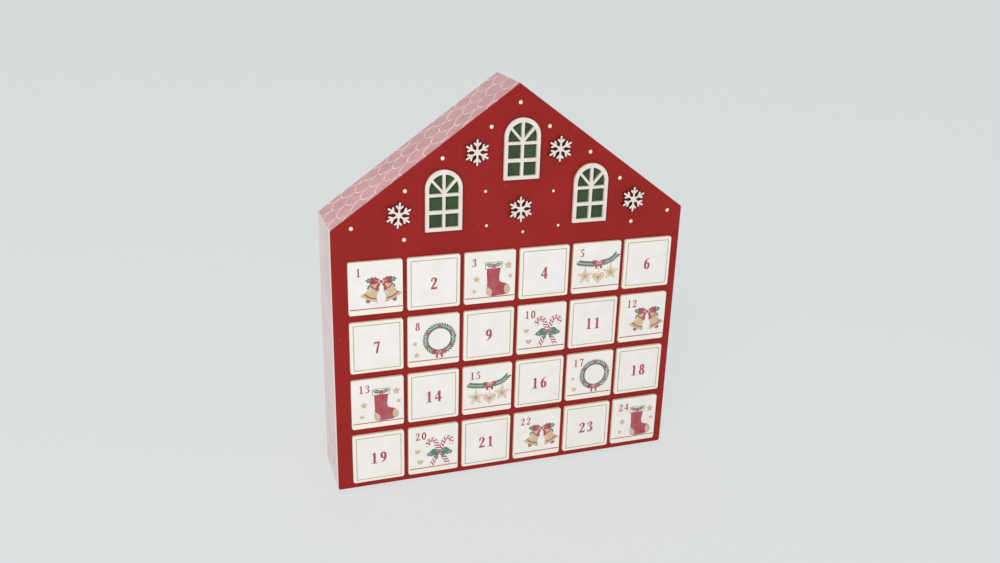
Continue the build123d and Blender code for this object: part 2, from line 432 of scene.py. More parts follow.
thick = Finish("dot_paint")
stipple = thick.mottle(0.6 * MM, detail=3)
dot_coat = thick.mix(stipple, colour(DOT_SHADE), colour(DOT_WHITE)), 0.5 + 0.1 * stipple, stipple
dot_paint = thick.surface(dot_coat, depth=0.02 * MM, shine=0.3)

dot_points = bpy.data.meshes.new("painted_dots")
dot_points.from_pydata([(x * MM, front_face, z * MM) for x, z in DOTS + SMALL_DOTS], [], [])
dot_radius = dot_points.attributes.new("radius", "FLOAT", "POINT")
for index, item in enumerate(dot_radius.data):
    item.value = DOT_RADIUS if index < len(DOTS) else SMALL_DOT_RADIUS
dots = settle(put_in_scene("painted_dots", dot_points), dab_tree(), {
    "Thickness": DOT_THICKNESS, "Material": dot_paint,
})
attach(dots, "case")

# Window cards
# Arched pieces of stiff green card, cut a little smaller than the window frames. They are glued to the red
# panel and show through the frames as the panes.
CARD_GREEN = "3F5836"
CARD_DARK = "31442B"
card = Finish("green_card")
pulp = card.mottle(0.8 * MM, detail=4)
shade = card.cloud(12 * MM, detail=3)
card_hue = card.mix(shade * 0.6 + pulp * 0.4, colour(CARD_DARK), colour(CARD_GREEN))
green_card = card.surface((card_hue, 0.55 + 0.2 * pulp, pulp), depth=0.03 * MM, shine=0.3)
paint_node("window_cards", green_card, edge=0)

# Window frames
# Arched frames sawn out of thin fibreboard, each in one piece with its glazing bars. They are painted white
# on the face and thinly down the cuts, and glued over the cards.
FRAME_WHITE = "F0E9E0"
FRAME_DULL = "E0D7CB"
CUT_TAN = "B9A488"
frame_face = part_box("window_frames")[0].y


def white_paint(finish):
    """Matt white paint in two near tones."""
    cloud = finish.cloud(10 * MM, detail=4)
    peel = finish.mottle(0.7 * MM, detail=3)
    white = finish.mix(cloud * 0.5 + peel * 0.5, colour(FRAME_DULL), colour(FRAME_WHITE))
    return white, 0.45 + 0.15 * peel, peel


window = Finish("window_paint")
down_cut = window.past(window.y, frame_face + 1.65 * MM, 1.15 * MM)
thin_coat = window.mottle(1.5 * MM, stretch=(1, 3, 1), detail=4)
frame_hue, frame_rough, frame_height = white_paint(window)
frame_hue = window.mix(down_cut * (0.2 + 0.5 * thin_coat), frame_hue, colour(CUT_TAN))
window_paint = window.surface((frame_hue, frame_rough, frame_height), depth=0.03 * MM, shine=0.35)
paint_node("window_frames", window_paint, edge=0.25 * MM)

# Snowflakes
# Cut from thin board by a laser, which leaves the cut edges scorched dark brown. Only the faces are painted
# white. They are glued flat to the red panel.
SCORCH_DARK = "1C110C"
SCORCH_BROWN = "3A2519"
flake_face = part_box("snowflakes")[0].y
flake = Finish("flake_paint")
scorch = flake.mottle(0.8 * MM, stretch=(1, 4, 1), detail=4)
scorched = flake.mix(scorch, colour(SCORCH_DARK), colour(SCORCH_BROWN)), 0.7 + 0.15 * scorch, scorch
on_cut = flake.past(flake.y, flake_face + 0.21 * MM, 0.09 * MM)
flake_coat = flake.over(on_cut, white_paint(flake), scorched)
paint_node("snowflakes", flake.surface(flake_coat, depth=0.03 * MM, shine=0.35), edge=0.12 * MM)

# Drawer trays
# Each drawer is a small open tray of raw thin board, butted and glued: a floor, two sides and an end. It is
# paler than the case because it is a finer board.
DRAWERS = 24
TRAY_PALE = "DFC9A6"
TRAY_DEEP = "D3B892"
tray = Finish("tray_board")
tray_tone = tray.mottle(16 * MM, detail=4)
tray_fibre = tray.mottle(0.7 * MM, stretch=(1, 2, 1), detail=4)
tray_tan = tray.mix(tray_tone, colour(TRAY_DEEP), colour(TRAY_PALE))
tray_tan = tray.mix(tray.rise(tray_fibre, 0.6, 0.75) * 0.3, tray_tan, colour(FIBRE_DARK))
tray_board = tray.surface((tray_tan, 0.7 + 0.2 * tray_fibre, tray_fibre), depth=0.05 * MM, shine=0.25)
for day in range(1, DRAWERS + 1):
    paint_node(f"drawer_{day:02d}_tray", tray_board, edge=0.2 * MM)

# Drawer fronts
# Square white boards with rounded corners, glued to the trays. The white thins to cream along the rounded
# edges and down the sides, where the board shows through, and is left cream in the margins round the prints.
FRONT_WHITE = "F5F1EC"
FRONT_DULL = "EDE8E1"
EDGE_CREAM = "F5EEDB"
SIDE_CREAM = "E2D6BC"
COLUMNS = 6
PICTURE_DAYS = (1, 3, 5, 8, 10, 12, 13, 15, 17, 20, 22, 24)
PICTURE_MARGIN = 1.6 * MM
PLAIN_MARGIN = 3.4 * MM
GROUND = -18.4  # millimetres from the middle of a front up to the ground line of its picture


def front_middle(day):
    low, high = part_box(f"drawer_{day:02d}_front")
    return (low + high) / 2


first_low, first_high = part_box("drawer_01_front")
first_middle = front_middle(1)
half_front = (first_high - first_low) / 2
column_pitch = front_middle(2).x - first_middle.x
row_pitch = first_middle.z - front_middle(1 + COLUMNS).z


def from_middle(finish, value, middle, pitch):
    """How far along an axis a point is from the middle of its own drawer front, on a grid of that pitch."""
    steps = (value - middle) / pitch
    return (steps - finish.maths("ROUND", steps)) * pitch


def front_paint(name, margin, ground):
    """White paint, cream within a margin of the edges and below the ground line."""
    paint = Finish(name)
    across = from_middle(paint, paint.x, first_middle.x, column_pitch)
    up = from_middle(paint, paint.z, first_middle.z, row_pitch)
    to_edge = paint.maths("MINIMUM", half_front.x - abs(across), half_front.z - abs(up))
    wander = paint.mottle(4 * MM, detail=3)
    peel = paint.mottle(0.8 * MM, detail=3)
    blotch = paint.cloud(16 * MM, detail=4)
    white = paint.mix(blotch * 0.6 + peel * 0.4, colour(FRONT_DULL), colour(FRONT_WHITE))
    rim = 1 - paint.rise(to_edge + 1.2 * MM * (wander - 0.5), margin * 0.4, margin)
    foot = 0.7 - 0.7 * paint.past(up, ground, 0.4 * MM)
    white = paint.mix(paint.maths("MAXIMUM", rim, foot) * 0.85, white, colour(EDGE_CREAM))
    on_side = paint.past(paint.y, first_low.y + 1.1 * MM, 0.5 * MM)
    white = paint.mix(on_side * (0.4 + 0.6 * wander), white, colour(SIDE_CREAM))
    return paint.surface((white, 0.4 + 0.15 * peel, peel), depth=0.015 * MM, shine=0.35)


plain_paint = front_paint("plain_front_paint", PLAIN_MARGIN, -half_front.z)
picture_paint = front_paint("picture_front_paint", PICTURE_MARGIN, GROUND * MM)
for day in range(1, DRAWERS + 1):
    paint = picture_paint if day in PICTURE_DAYS else plain_paint
    paint_node(f"drawer_{day:02d}_front", paint, edge=0)

# Prints on the drawer fronts
# Ink printed on the white faces: a day number on every front, a border on the plain ones, a small picture on
# the others. Each ink is laid as a film a few hundredths of a millimetre thick, later ones a little higher.
INKS = {
    "crimson": "A62B3E",
    "green": "46755F",
    "tan": "CDB48F",
    "white": "F4F1EC",
    "olive": "A39686",
    "brown": "8A6B4C",
}
FILM = 0.02 * MM
FILM_STEP = 0.002 * MM
SAME_SPOT = 0.00001
END_ANGLES = (30, 58, 80)  # degrees round the end of a stroke, where its points are


def ink_material(name, code):
    """A flat ink whose dots sink a little unevenly into the paint below."""
    ink = Finish(name + "_ink")
    speck = ink.mottle(0.5 * MM, detail=3)
    wash = ink.cloud(7 * MM, detail=3)
    paler = ink.mix(0.14, colour(code), colour(FRONT_WHITE))
    hue = ink.mix(speck * 0.5 + wash * 0.5, colour(code), paler)
    return ink.surface((hue, 0.45 + 0.1 * speck, speck), depth=FILM, shine=0.3)


ink_names = list(INKS)
ink_materials = [ink_material(name, code) for name, code in INKS.items()]


def curve_through(points, closed=False, steps=6):
    """A smooth line through a few points."""
    points = [Vector(point) for point in points]
    count = len(points)
    line = []
    for run in range(count if closed else count - 1):
        near = range(run - 1, run + 3)
        a, b, c, d = [points[k % count if closed else min(max(k, 0), count - 1)] for k in near]
        for t in [step / steps for step in range(steps)]:
            bend = (2 * a - 5 * b + 4 * c - d) * t * t + (3 * b - a - 3 * c + d) * t ** 3
            line.append((2 * b + (c - a) * t + bend) / 2)
    return line if closed else line + [points[-1]]


def oval(middle, wide, high, count=24):
    """Points round an oval with these half sizes."""
    turns = [2 * pi * k / count for k in range(count)]
    return [Vector((middle[0] + wide * cos(t), middle[1] + high * sin(t))) for t in turns]


def disc(middle, radius, count=24):
    return oval(middle, radius, radius, count)


def turned(points, angle, at=(0, 0), size=1):
    """Points turned by an angle in degrees, sized and moved."""
    turn = Matrix.Rotation(radians(angle), 2) * size
    return [turn @ Vector(point) + Vector(at) for point in points]


def round_pen(radius):
    """A pen that draws equal lines every way. Pens are given by half their width and half their height."""
    return Vector((radius, radius))


def width_at(widths, share):
    """The width between those given along a stroke."""
    spot = share * (len(widths) - 1)
    low = min(int(spot), len(widths) - 2)
    return widths[low] + (widths[low + 1] - widths[low]) * (spot - low)


def pen_stop(point, along, pen, width):
    """A place of a flat oval pen that is held upright, half of its track, and how far it reaches ahead."""
    across = Vector((-along.y, along.x))
    reach = hypot(pen.x * across.x, pen.y * across.y)
    track = Vector((pen.x ** 2 * across.x, pen.y ** 2 * across.y)) * width / reach
    return point, track, along * width * hypot(pen.x * along.x, pen.y * along.y)


def round_end(stop, way):
    """More stops past the end of a stroke, with less and less track."""
    point, track, ahead = stop
    return [(point + way * sin(t) * ahead, track * cos(t), ahead) for t in map(radians, END_ANGLES)]


def pen_edges(line, pen, widths, closed):
    """Left and right edges of a pen stroke, with rounded ends."""
    last = len(line) - 1
    stops = []
    for i, point in enumerate(line):
        before = line[i - 1] if closed or i else point
        after = line[(i + 1) % len(line)] if closed or i < last else point
        stops.append(pen_stop(point, (after - before).normalized(), pen, width_at(widths, i / last)))
    if not closed:
        stops = round_end(stops[0], -1)[::-1] + stops + round_end(stops[-1], 1)
    return [(point + track, point - track) for point, track, ahead in stops]


def pen_pieces(line, pen, widths, closed):
    """The triangles that a flat oval pen covers along a line."""
    edges = pen_edges(line, pen, widths, closed)
    following = edges[1:] + (edges[:1] if closed else [])
    pieces = []
    for (left, right), (next_left, next_right) in zip(edges, following):
        pieces += [[left, right, next_right], [left, next_right, next_left]]
    return pieces


def twice_area(outline):
    """Twice the area of an outline, below zero if it runs clockwise."""
    return sum(a.x * b.y - b.x * a.y for a, b in zip(outline, outline[1:] + outline[:1]))


class Print:
    """The inks on one drawer front. Places are millimetres from the middle of its face."""

    def __init__(self, day):
        self.drawer = f"drawer_{day:02d}"
        self.middle = front_middle(day)
        self.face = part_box(self.drawer + "_front")[0].y
        self.films = bmesh.new()
        self.top = FILM

    def place(self, point, height):
        return self.middle.x + point[0] * MM, self.face - height, self.middle.z + point[1] * MM

    def lay(self, shapes, ink):
        """One even film of ink over all of these shapes, which may overlap."""
        outlines = [[Vector(point) for point in shape] for shape in shapes]
        outlines = [outline if twice_area(outline) > 0 else outline[::-1] for outline in outlines]
        ends = accumulate(map(len, outlines))
        rings = [list(range(end - len(outline), end)) for end, outline in zip(ends, outlines)]
        corners = [point for outline in outlines for point in outline]
        spots, _, faces, _, _, sources = delaunay_2d_cdt(corners, [], rings, 1, SAME_SPOT)
        self.build_film(spots, [face for face, source in zip(faces, sources) if source], ink)

    def build_film(self, spots, inked, ink):
        """The top, the underside and the rim of a film over the inked faces."""
        sides = {side for face in inked for side in zip(face, face[1:] + face[:1])}
        upper = [self.films.verts.new(self.place(spot, self.top)) for spot in spots]
        lower = [self.films.verts.new(self.place(spot, 0)) for spot in spots]
        faces = [[upper[k] for k in face] for face in inked]
        faces += [[lower[k] for k in face[::-1]] for face in inked]
        faces += [(upper[b], upper[a], lower[a], lower[b]) for a, b in sides if (b, a) not in sides]
        for corners in faces:
            self.films.faces.new(corners).material_index = ink_names.index(ink)
        self.top += FILM_STEP

    def fill(self, outline, ink):
        self.lay([outline], ink)

    def stroke(self, line, ink, pen, widths=(1, 1), closed=False):
        self.lay(pen_pieces([Vector(point) for point in line], pen, widths, closed), ink)

    def piece(self):
        mesh = bpy.data.meshes.new(self.drawer + "_print")
        self.films.to_mesh(mesh)
        for material in ink_materials:
            mesh.materials.append(material)
        return put_in_scene(self.drawer + "_print", mesh)


# Day numbers
# Upright book figures with thick stems and thin joins, printed in crimson. They are drawn in a box one high
# as the strokes of a broad pen, with the flat parts and the drops at the stroke ends filled in.
FIGURE_WIDTH = 0.6
FIGURE_PITCH = 0.75
RING_POINTS = 12
DROP = 0.062
PLAIN_PEN = Vector((0.1, 0.032))
PICTURE_PEN = Vector((0.088, 0.034))
NUMBER_HEIGHT = 11
NUMBER_DROP = 0.6
DAY_HEIGHT = 7.6
DAY_PLACE = (-17, 10.9)
BORDER_WIDTH = 40.5
BORDER_HEIGHT = 41.5
BORDER_PEN = round_pen(0.34)
GROUND_REACH = 22.3
GROUND_PEN = round_pen(0.44)
FIGURE_RINGS = {  # middle, half width, half height and weight
    "0": [((0.3, 0.5), 0.185, 0.466, 1)],
    "6": [((0.305, 0.305), 0.165, 0.273, 1)],
    "8": [((0.3, 0.755), 0.135, 0.213, 0.9), ((0.3, 0.275), 0.175, 0.243, 1)],
}
FIGURE_STROKES = {  # points, and weights along the stroke
    "1": [
        ([(0.3, 0.03), (0.3, 0.5), (0.3, 0.95)], (1, 1)),
        ([(0.11, 0.83), (0.2, 0.87), (0.31, 0.96)], (0.4, 0.8)),
        ([(0.12, 0.028), (0.3, 0.028), (0.48, 0.028)], (0.9, 0.9)),
    ],
    "2": [
        ([(0.09, 0.7), (0.13, 0.85), (0.27, 0.965), (0.41, 0.87), (0.42, 0.68), (0.33, 0.47), (0.2, 0.27),
          (0.09, 0.1)], (0.5, 0.75, 1.1, 0.8, 0.5)),
    ],
    "3": [
        ([(0.08, 0.75), (0.14, 0.88), (0.27, 0.965), (0.4, 0.88), (0.39, 0.7), (0.28, 0.58), (0.2, 0.55)],
         (0.45, 0.8, 1, 0.5)),
        ([(0.2, 0.555), (0.35, 0.51), (0.435, 0.34), (0.39, 0.15), (0.24, 0.035), (0.12, 0.055),
          (0.07, 0.12)], (0.5, 1.1, 1.05, 0.6)),
    ],
    "4": [
        ([(0.4, 0.03), (0.4, 0.5), (0.4, 0.96)], (1, 1)),
        ([(0.06, 0.33), (0.2, 0.6), (0.39, 0.94)], (0.45, 0.5)),
    ],
    "5": [
        ([(0.16, 0.93), (0.14, 0.76), (0.12, 0.6)], (0.4, 0.4)),
        ([(0.12, 0.585), (0.26, 0.615), (0.4, 0.53), (0.44, 0.35), (0.38, 0.16), (0.24, 0.04), (0.12, 0.06),
          (0.075, 0.12)], (0.5, 0.9, 1.1, 0.7, 0.5)),
    ],
    "6": [
        ([(0.14, 0.34), (0.15, 0.58), (0.24, 0.78), (0.38, 0.91), (0.52, 0.975)], (1, 1, 0.9, 0.6, 0.3)),
    ],
    "7": [
        ([(0.47, 0.88), (0.37, 0.55), (0.28, 0.03)], (0.6, 0.8, 0.85)),
    ],
}
FIGURE_FILLS = {
    "1": [[(0.17, 0.04), (0.43, 0.04), (0.4, 0.1), (0.2, 0.1)]],
    "2": [
        [(0.03, 0), (0.5, 0), (0.575, 0.27), (0.535, 0.27), (0.47, 0.17), (0.18, 0.17), (0.1, 0.12),
         (0.03, 0.04)],
        disc((0.11, 0.71), DROP),
    ],
    "3": [disc((0.105, 0.75), DROP), disc((0.1, 0.13), DROP)],
    "4": [[(0.02, 0.235), (0.58, 0.235), (0.58, 0.365), (0.02, 0.365)]],
    "5": [[(0.14, 0.84), (0.46, 0.84), (0.52, 1), (0.16, 1)], disc((0.1, 0.13), DROP)],
    "7": [[(0.04, 0.73), (0.075, 0.73), (0.14, 0.84), (0.44, 0.84), (0.56, 0.94), (0.56, 1), (0.08, 1)]],
}


def draw_figure(film, figure, left, base, height, pen):
    """One figure in crimson. A nine is a six turned half round."""
    shape = "6" if figure == "9" else figure

    def placed(points):
        if figure == "9":
            points = [(FIGURE_WIDTH - x, 1 - y) for x, y in points]
        return [Vector((left + x * height, base + y * height)) for x, y in points]

    shapes = [placed(points) for points in FIGURE_FILLS.get(shape, [])]
    for middle, wide, high, weight in FIGURE_RINGS.get(shape, []):
        ring = curve_through(placed(oval(middle, wide, high, RING_POINTS)), closed=True)
        shapes += pen_pieces(ring, pen * height, (weight, weight), closed=True)
    for points, weights in FIGURE_STROKES.get(shape, []):
        shapes += pen_pieces(curve_through(placed(points)), pen * height, weights, closed=False)
    film.lay(shapes, "crimson")


def draw_number(film, day, left, base, height, pen):
    for place, figure in enumerate(str(day)):
        draw_figure(film, figure, left + place * FIGURE_PITCH * height, base, height, pen)


def plain_front(film, day):
    """A thin border and a large number in the middle."""
    wide, high = BORDER_WIDTH / 2, BORDER_HEIGHT / 2
    corners = [(-wide, -high), (wide, -high), (wide, high), (-wide, high)]
    for start, end in zip(corners, corners[1:] + corners[:1]):
        film.stroke([start, end], "olive", BORDER_PEN)
    width = FIGURE_WIDTH + FIGURE_PITCH * (len(str(day)) - 1)
    base = -NUMBER_HEIGHT / 2 - NUMBER_DROP
    draw_number(film, day, -width / 2 * NUMBER_HEIGHT, base, NUMBER_HEIGHT, PLAIN_PEN)


def picture_front(film, day, picture):
    """A small number in the corner, a ground line and a picture."""
    film.stroke([(-GROUND_REACH, GROUND), (GROUND_REACH, GROUND)], "crimson", GROUND_PEN)
    draw_number(film, day, *DAY_PLACE, DAY_HEIGHT, PICTURE_PEN)
    picture(film)


# Small pictures
# Common holiday signs printed in the same few inks: bells, a stocking, biscuits on a garland, a wreath and
# sugar canes, with holly and bows. Sizes and places are millimetres on a drawer front.
FINE_PEN = round_pen(0.16)
HOLLY_HALF = [
    (0, 0), (0.1, 0.06), (0.16, 0.21), (0.27, 0.13), (0.38, 0.29), (0.5, 0.15), (0.62, 0.27), (0.72, 0.12),
    (0.83, 0.17), (0.88, 0.06), (1, 0),
]
BOW_LOOP = curve_through([(0, 0), (0.4, 0.36), (0.84, 0.4), (1, 0.06), (0.82, -0.22), (0.4, -0.16)], True)
BOW_TAIL = [(-0.06, 0), (0.22, -0.5), (0.2, -0.95), (0.36, -0.82), (0.56, -0.88), (0.44, -0.42), (0.1, 0.02)]
BOW_CREASE = [(0.2, 0.04), (0.55, 0.12)]
STAR_NOTCH = 0.55  # reach of the notches between the points of a star
HEART_POINTS = 32


def mirrored(half):
    """A closed outline from one half of it, which starts and ends on the middle line."""
    return [(x, -y) for x, y in half] + [(x, y) for x, y in half[-2:0:-1]]


def holly_leaf(film, root, angle, length):
    """A prickly green leaf with a white vein."""
    film.fill(turned(mirrored(HOLLY_HALF), angle, root, length), "green")
    film.stroke(turned([(0.1, 0), (0.82, 0)], angle, root, length), "white", FINE_PEN)


def berries(film, middle, radius):
    """Three crimson berries, each with a white gleam."""
    for angle in (90, 210, 330):
        spot = turned([(radius, 0)], angle, middle)[0]
        film.fill(disc(spot, radius, 16), "crimson")
        film.fill(disc(spot + Vector((-0.3, 0.3)) * radius, radius * 0.2, 8), "white")


def bow(film, middle, size, ink):
    """Two tails, two loops with a crease, and a knot."""
    for side in (1, -1):
        for outline in (BOW_TAIL, BOW_LOOP):
            film.fill(turned([(side * x, y) for x, y in outline], 0, middle, size), ink)
        crease = turned([(side * x, y) for x, y in BOW_CREASE], 0, middle, size)
        film.stroke(crease, "white", FINE_PEN, (1, 0.5))
    film.fill(oval(middle, 0.22 * size, 0.21 * size), "white")
    film.fill(oval(middle, 0.17 * size, 0.16 * size), ink)


def star(middle, radius):
    """A five-pointed star with softened points."""
    reaches = [radius, radius * STAR_NOTCH] * 5
    points = [turned([(reach, 0)], 90 + 36 * k, middle)[0] for k, reach in enumerate(reaches)]
    return curve_through(points, True, 4)


def heart(middle, size):
    """The usual heart curve, as wide to each side as the size says."""
    outline = []
    for t in [2 * pi * k / HEART_POINTS for k in range(HEART_POINTS)]:
        up = 13 * cos(t) - 5 * cos(2 * t) - 2 * cos(3 * t) - cos(4 * t)
        outline.append(Vector((middle[0] + size * sin(t) ** 3, middle[1] + size / 16 * up)))
    return outline


def scatter(film, shape, places):
    """Small tan stars or hearts, each with its middle and its size."""
    for middle, size in places:
        film.fill(shape(middle, size), "tan")


LEAF_SPACING = 1.1 * MM
LEAF_LENGTH = 4.6 * MM
LEAF_WIDTH = 1.7 * MM
LEAF_LEAN = radians(38)
LEAF_SEGMENTS = 6
LEAF_RINGS = 8


def leaf_shape(wiring, given):
    """A ball drawn out to a flat pointed leaf, which lies along X from its root."""
    ball = wiring.node("GeometryNodeMeshUVSphere", {}, {
        "Segments": LEAF_SEGMENTS, "Rings": LEAF_RINGS, "Radius": 1,
    })
    spot = wiring.node("ShaderNodeSeparateXYZ", {}, {"Vector": wiring.node("GeometryNodeInputPosition")})
    along = spot.out("Z")
    pointed = wiring.maths("SQRT", wiring.maths("MAXIMUM", 1 - along * along, 0))
    leaf_place = wiring.node("ShaderNodeCombineXYZ", {}, {
        "X": (along + 1) * given.out("Length") / 2,
        "Y": spot.out("Y") * given.out("Thickness") * -1,
        "Z": spot.out("X") * pointed * given.out("Width") / 2,
    })
    return wiring.node("GeometryNodeSetPosition", {}, {"Geometry": ball, "Position": leaf_place})


def leaf_tree():
    """Pointed leaves along a line, every other one leaning to the other side."""
    wiring, given = geometry_tree("leaves", {
        "Spacing": "Float", "Length": "Float", "Width": "Float", "Thickness": "Float", "Lean": "Float",
        "Material": "Material",
    })
    line = wiring.node("GeometryNodeMeshToCurve", {}, {"Mesh": given.out("Geometry")})
    spaced = wiring.node("GeometryNodeResampleCurve", {"mode": "LENGTH"}, {
        "Curve": line, "Length": given.out("Spacing"),
    })
    run = wiring.node("ShaderNodeSeparateXYZ", {}, {"Vector": wiring.node("GeometryNodeInputTangent")})
    side = 1 - 2 * wiring.maths("MODULO", wiring.node("GeometryNodeInputIndex"), 2)
    turn = given.out("Lean") * side - wiring.maths("ARCTAN2", run.out("Z"), run.out("X"))
    set_leaves = wiring.node("GeometryNodeInstanceOnPoints", {}, {
        "Points": spaced, "Instance": leaf_shape(wiring, given),
        "Rotation": wiring.node("ShaderNodeCombineXYZ", {}, {"Y": turn}),
    })
    return end_tree(wiring, set_leaves, given)


leaves_along = leaf_tree()


def leaves(film, line, closed):
    """Green leaves along a line on a front, as a piece of their own."""
    count = len(line)
    mesh = bpy.data.meshes.new(film.drawer + "_leaves")
    runs = [(i, (i + 1) % count) for i in range(count if closed else count - 1)]
    mesh.from_pydata([film.place(point, FILM / 2) for point in line], runs, [])
    sprig = settle(put_in_scene(film.drawer + "_leaves", mesh), leaves_along, {
        "Spacing": LEAF_SPACING, "Length": LEAF_LENGTH, "Width": LEAF_WIDTH, "Thickness": FILM,
        "Lean": LEAF_LEAN, "Material": ink_materials[ink_names.index("green")],
    })
    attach(sprig, film.drawer)


BELL_SIZE = 1.3
BELL_HALF = [(0, 0), (-0.7, 1.9), (-2.6, 3.1), (-6, 3.6), (-8.8, 4.3), (-11, 6), (-12, 5.6), (-12.3, 0)]
BELL_CLAPPER = oval((-13, 0), 1.5, 1.6)
BELL_BANDS = ((-9.6, 4.3), (-2.9, 2.7))  # each band's reach from the top, and its half width
BELL_BAND_SAG = 0.9
BELL_BAND_PEN = round_pen(0.6)
BELL_GLEAM = [(-4.2, 2), (-7.6, 2.4)]
BELL_KNOT = (4.6, 5.4)


def bell(film, top, lean):
    """A tan bell that hangs from its top, with a brown clapper and crimson bands."""

    def hung(points):
        return turned(points, lean + 90, top, BELL_SIZE)

    film.fill(hung(BELL_CLAPPER), "brown")
    film.fill(hung(mirrored(curve_through(BELL_HALF))), "tan")
    for reach, side in BELL_BANDS:
        band = curve_through([(reach, -side), (reach - BELL_BAND_SAG, 0), (reach, side)])
        film.stroke(hung(band), "crimson", BELL_BAND_PEN)
    film.stroke(hung(BELL_GLEAM), "white", FINE_PEN * 1.6)


def bells(film):
    for angle in (172, 204, -24, 8):
        holly_leaf(film, BELL_KNOT, angle, length=14)
    bell(film, top=(0.6, 3.9), lean=-26)
    bell(film, top=(8.6, 3.9), lean=26)
    bow(film, BELL_KNOT, size=9.5, ink="crimson")


SOCK_SIZE = 1.25
SOCK_PLACE = (3, -0.5)
SOCK = [
    (-4.4, 9), (4.4, 9), (4.2, 0), (5.2, -3.4), (10, -5.4), (12.4, -9), (10.6, -12.6), (4, -13.6),
    (-2, -13.6), (-5.2, -11), (-4.7, -4),
]
SOCK_HEEL = [(-4.9, -6.5), (-1.2, -9.6), (-1.6, -13.4), (-5, -11.2)]
SOCK_TOE = [(9.4, -5.6), (8, -9.4), (9.8, -12.8), (12.3, -9)]
SOCK_CUFF = [(-6.2, 6.6), (6.2, 6.6), (6.4, 11.6), (-6.4, 11.6)]
SOCK_TRIM = [(-5.8, 7), (5.8, 7), (6, 11.2), (-6, 11.2)]
SOCK_SPRIG = (0, 8.6)
SOCK_STARS = (((16.5, 10), 4), ((18.5, 0), 2.4), ((-12.5, -1), 3.4), ((-14.5, -12), 2.4))


def stocking(film):
    """A crimson stocking with tan heel and toe, and a sprig of holly on its white cuff."""

    def hung(points):
        return turned(points, 0, SOCK_PLACE, SOCK_SIZE)

    for outline, ink in ((SOCK, "crimson"), (SOCK_HEEL, "tan"), (SOCK_TOE, "tan")):
        film.fill(hung(curve_through(outline, True)), ink)
    film.fill(hung(SOCK_CUFF), "crimson")
    film.fill(hung(SOCK_TRIM), "white")
    sprig = hung([SOCK_SPRIG])[0]
    for angle in (165, 15):
        holly_leaf(film, sprig, angle, length=8)
    berries(film, sprig, radius=1.2)
    scatter(film, star, SOCK_STARS)


GARLAND = [(-20, 6.5), (-11, 4.5), (2, 3.6), (13, 6.2), (18.6, 10.4)]
BISCUITS = (  # shape, middle, size, and where the thread hangs from
    (star, (-11, -7.5), 7.4, (-11, 5)),
    (heart, (2, -9.5), 6.2, (2, 4)),
    (star, (14, -5.5), 7.4, (14, 7)),
)
ICING_SHARE = 0.74
BUTTON_RADIUS = 0.8


def biscuit(film, outline, middle, hook):
    """A tan biscuit with a white icing line and a crimson button, on a crimson thread."""
    film.stroke([hook, middle], "crimson", FINE_PEN)
    film.fill(outline, "tan")
    icing = [middle + (point - middle) * ICING_SHARE for point in outline]
    film.stroke(icing, "white", FINE_PEN * 1.5, closed=True)
    film.fill(disc(middle, BUTTON_RADIUS, 16), "crimson")


def biscuits(film):
    for shape, middle, size, hook in BISCUITS:
        biscuit(film, shape(middle, size), Vector(middle), hook)
    leaves(film, curve_through(GARLAND), closed=False)
    bow(film, (2, 4.5), size=6.5, ink="crimson")


WREATH_MIDDLE = (5, 0.9)
WREATH_RADIUS = 12.4
WREATH_STARS = (((-15.5, -12.5), 2.8), ((-17, -1.5), 2.2))


def wreath(film):
    """A ring of leaves with six bunches of berries and a bow at its foot."""
    leaves(film, disc(WREATH_MIDDLE, WREATH_RADIUS, 48), closed=True)
    for turn in range(30, 390, 60):
        berries(film, turned([(WREATH_RADIUS, 0)], turn, WREATH_MIDDLE)[0], radius=1.05)
    foot = turned([(0, -WREATH_RADIUS)], 0, WREATH_MIDDLE)[0]
    bow(film, foot, size=6.4, ink="crimson")
    scatter(film, star, WREATH_STARS)


CANE_PLACE = (5.8, -1.2)
CANE_LINE = [(-7.5, -15), (-2.5, -5), (2.5, 4.5), (4, 9), (7.2, 11.2), (10.6, 9.6), (11, 6)]
CANE_PEN = round_pen(2.1)
CANE_WHITE_PEN = round_pen(1.75)
CANE_KNOT = (0, -2)
CANE_HEARTS = (((-15, -1), 2.6), ((-12.5, -12), 3))
STRIPE_SPACING = 3
STRIPE_REACH = 1.7
STRIPE_LEAN = 1.1
STRIPE_HALF = 0.75


def even_spots(line, spacing):
    """Places about that far apart along a line, half a space in from its ends, and the way it runs there."""
    runs = [end - start for start, end in zip(line, line[1:])]
    total = sum(run.length for run in runs)
    space = total / round(total / spacing)
    spots = []
    to_next = space / 2
    for start, run in zip(line, runs):
        while to_next < run.length:
            spots.append((start + run.normalized() * to_next, run.normalized()))
            to_next += space
        to_next -= run.length
    return spots


def sugar_cane(film, side):
    """A white cane with crimson stripes, leaning to one side."""
    line = curve_through(CANE_LINE, steps=10)
    line = turned([(side * x, y) for x, y in line], 0, CANE_PLACE)
    film.stroke(line, "crimson", CANE_PEN)
    film.stroke(line, "white", CANE_WHITE_PEN)
    for spot, along in even_spots(line, STRIPE_SPACING):
        across = Vector((-along.y, along.x)) * STRIPE_REACH
        lean = along * STRIPE_LEAN
        half = along * STRIPE_HALF
        left, right = spot + across + lean, spot - across - lean
        film.fill([left - half, right - half, right + half, left + half], "crimson")


def sugar_canes(film):
    for side in (1, -1):
        sugar_cane(film, side)
    knot = turned([CANE_KNOT], 0, CANE_PLACE)[0]
    for angle in (190, -10):
        holly_leaf(film, knot, angle, length=13)
    bow(film, knot, size=8, ink="green")
    berries(film, knot, radius=1)
    scatter(film, heart, CANE_HEARTS)


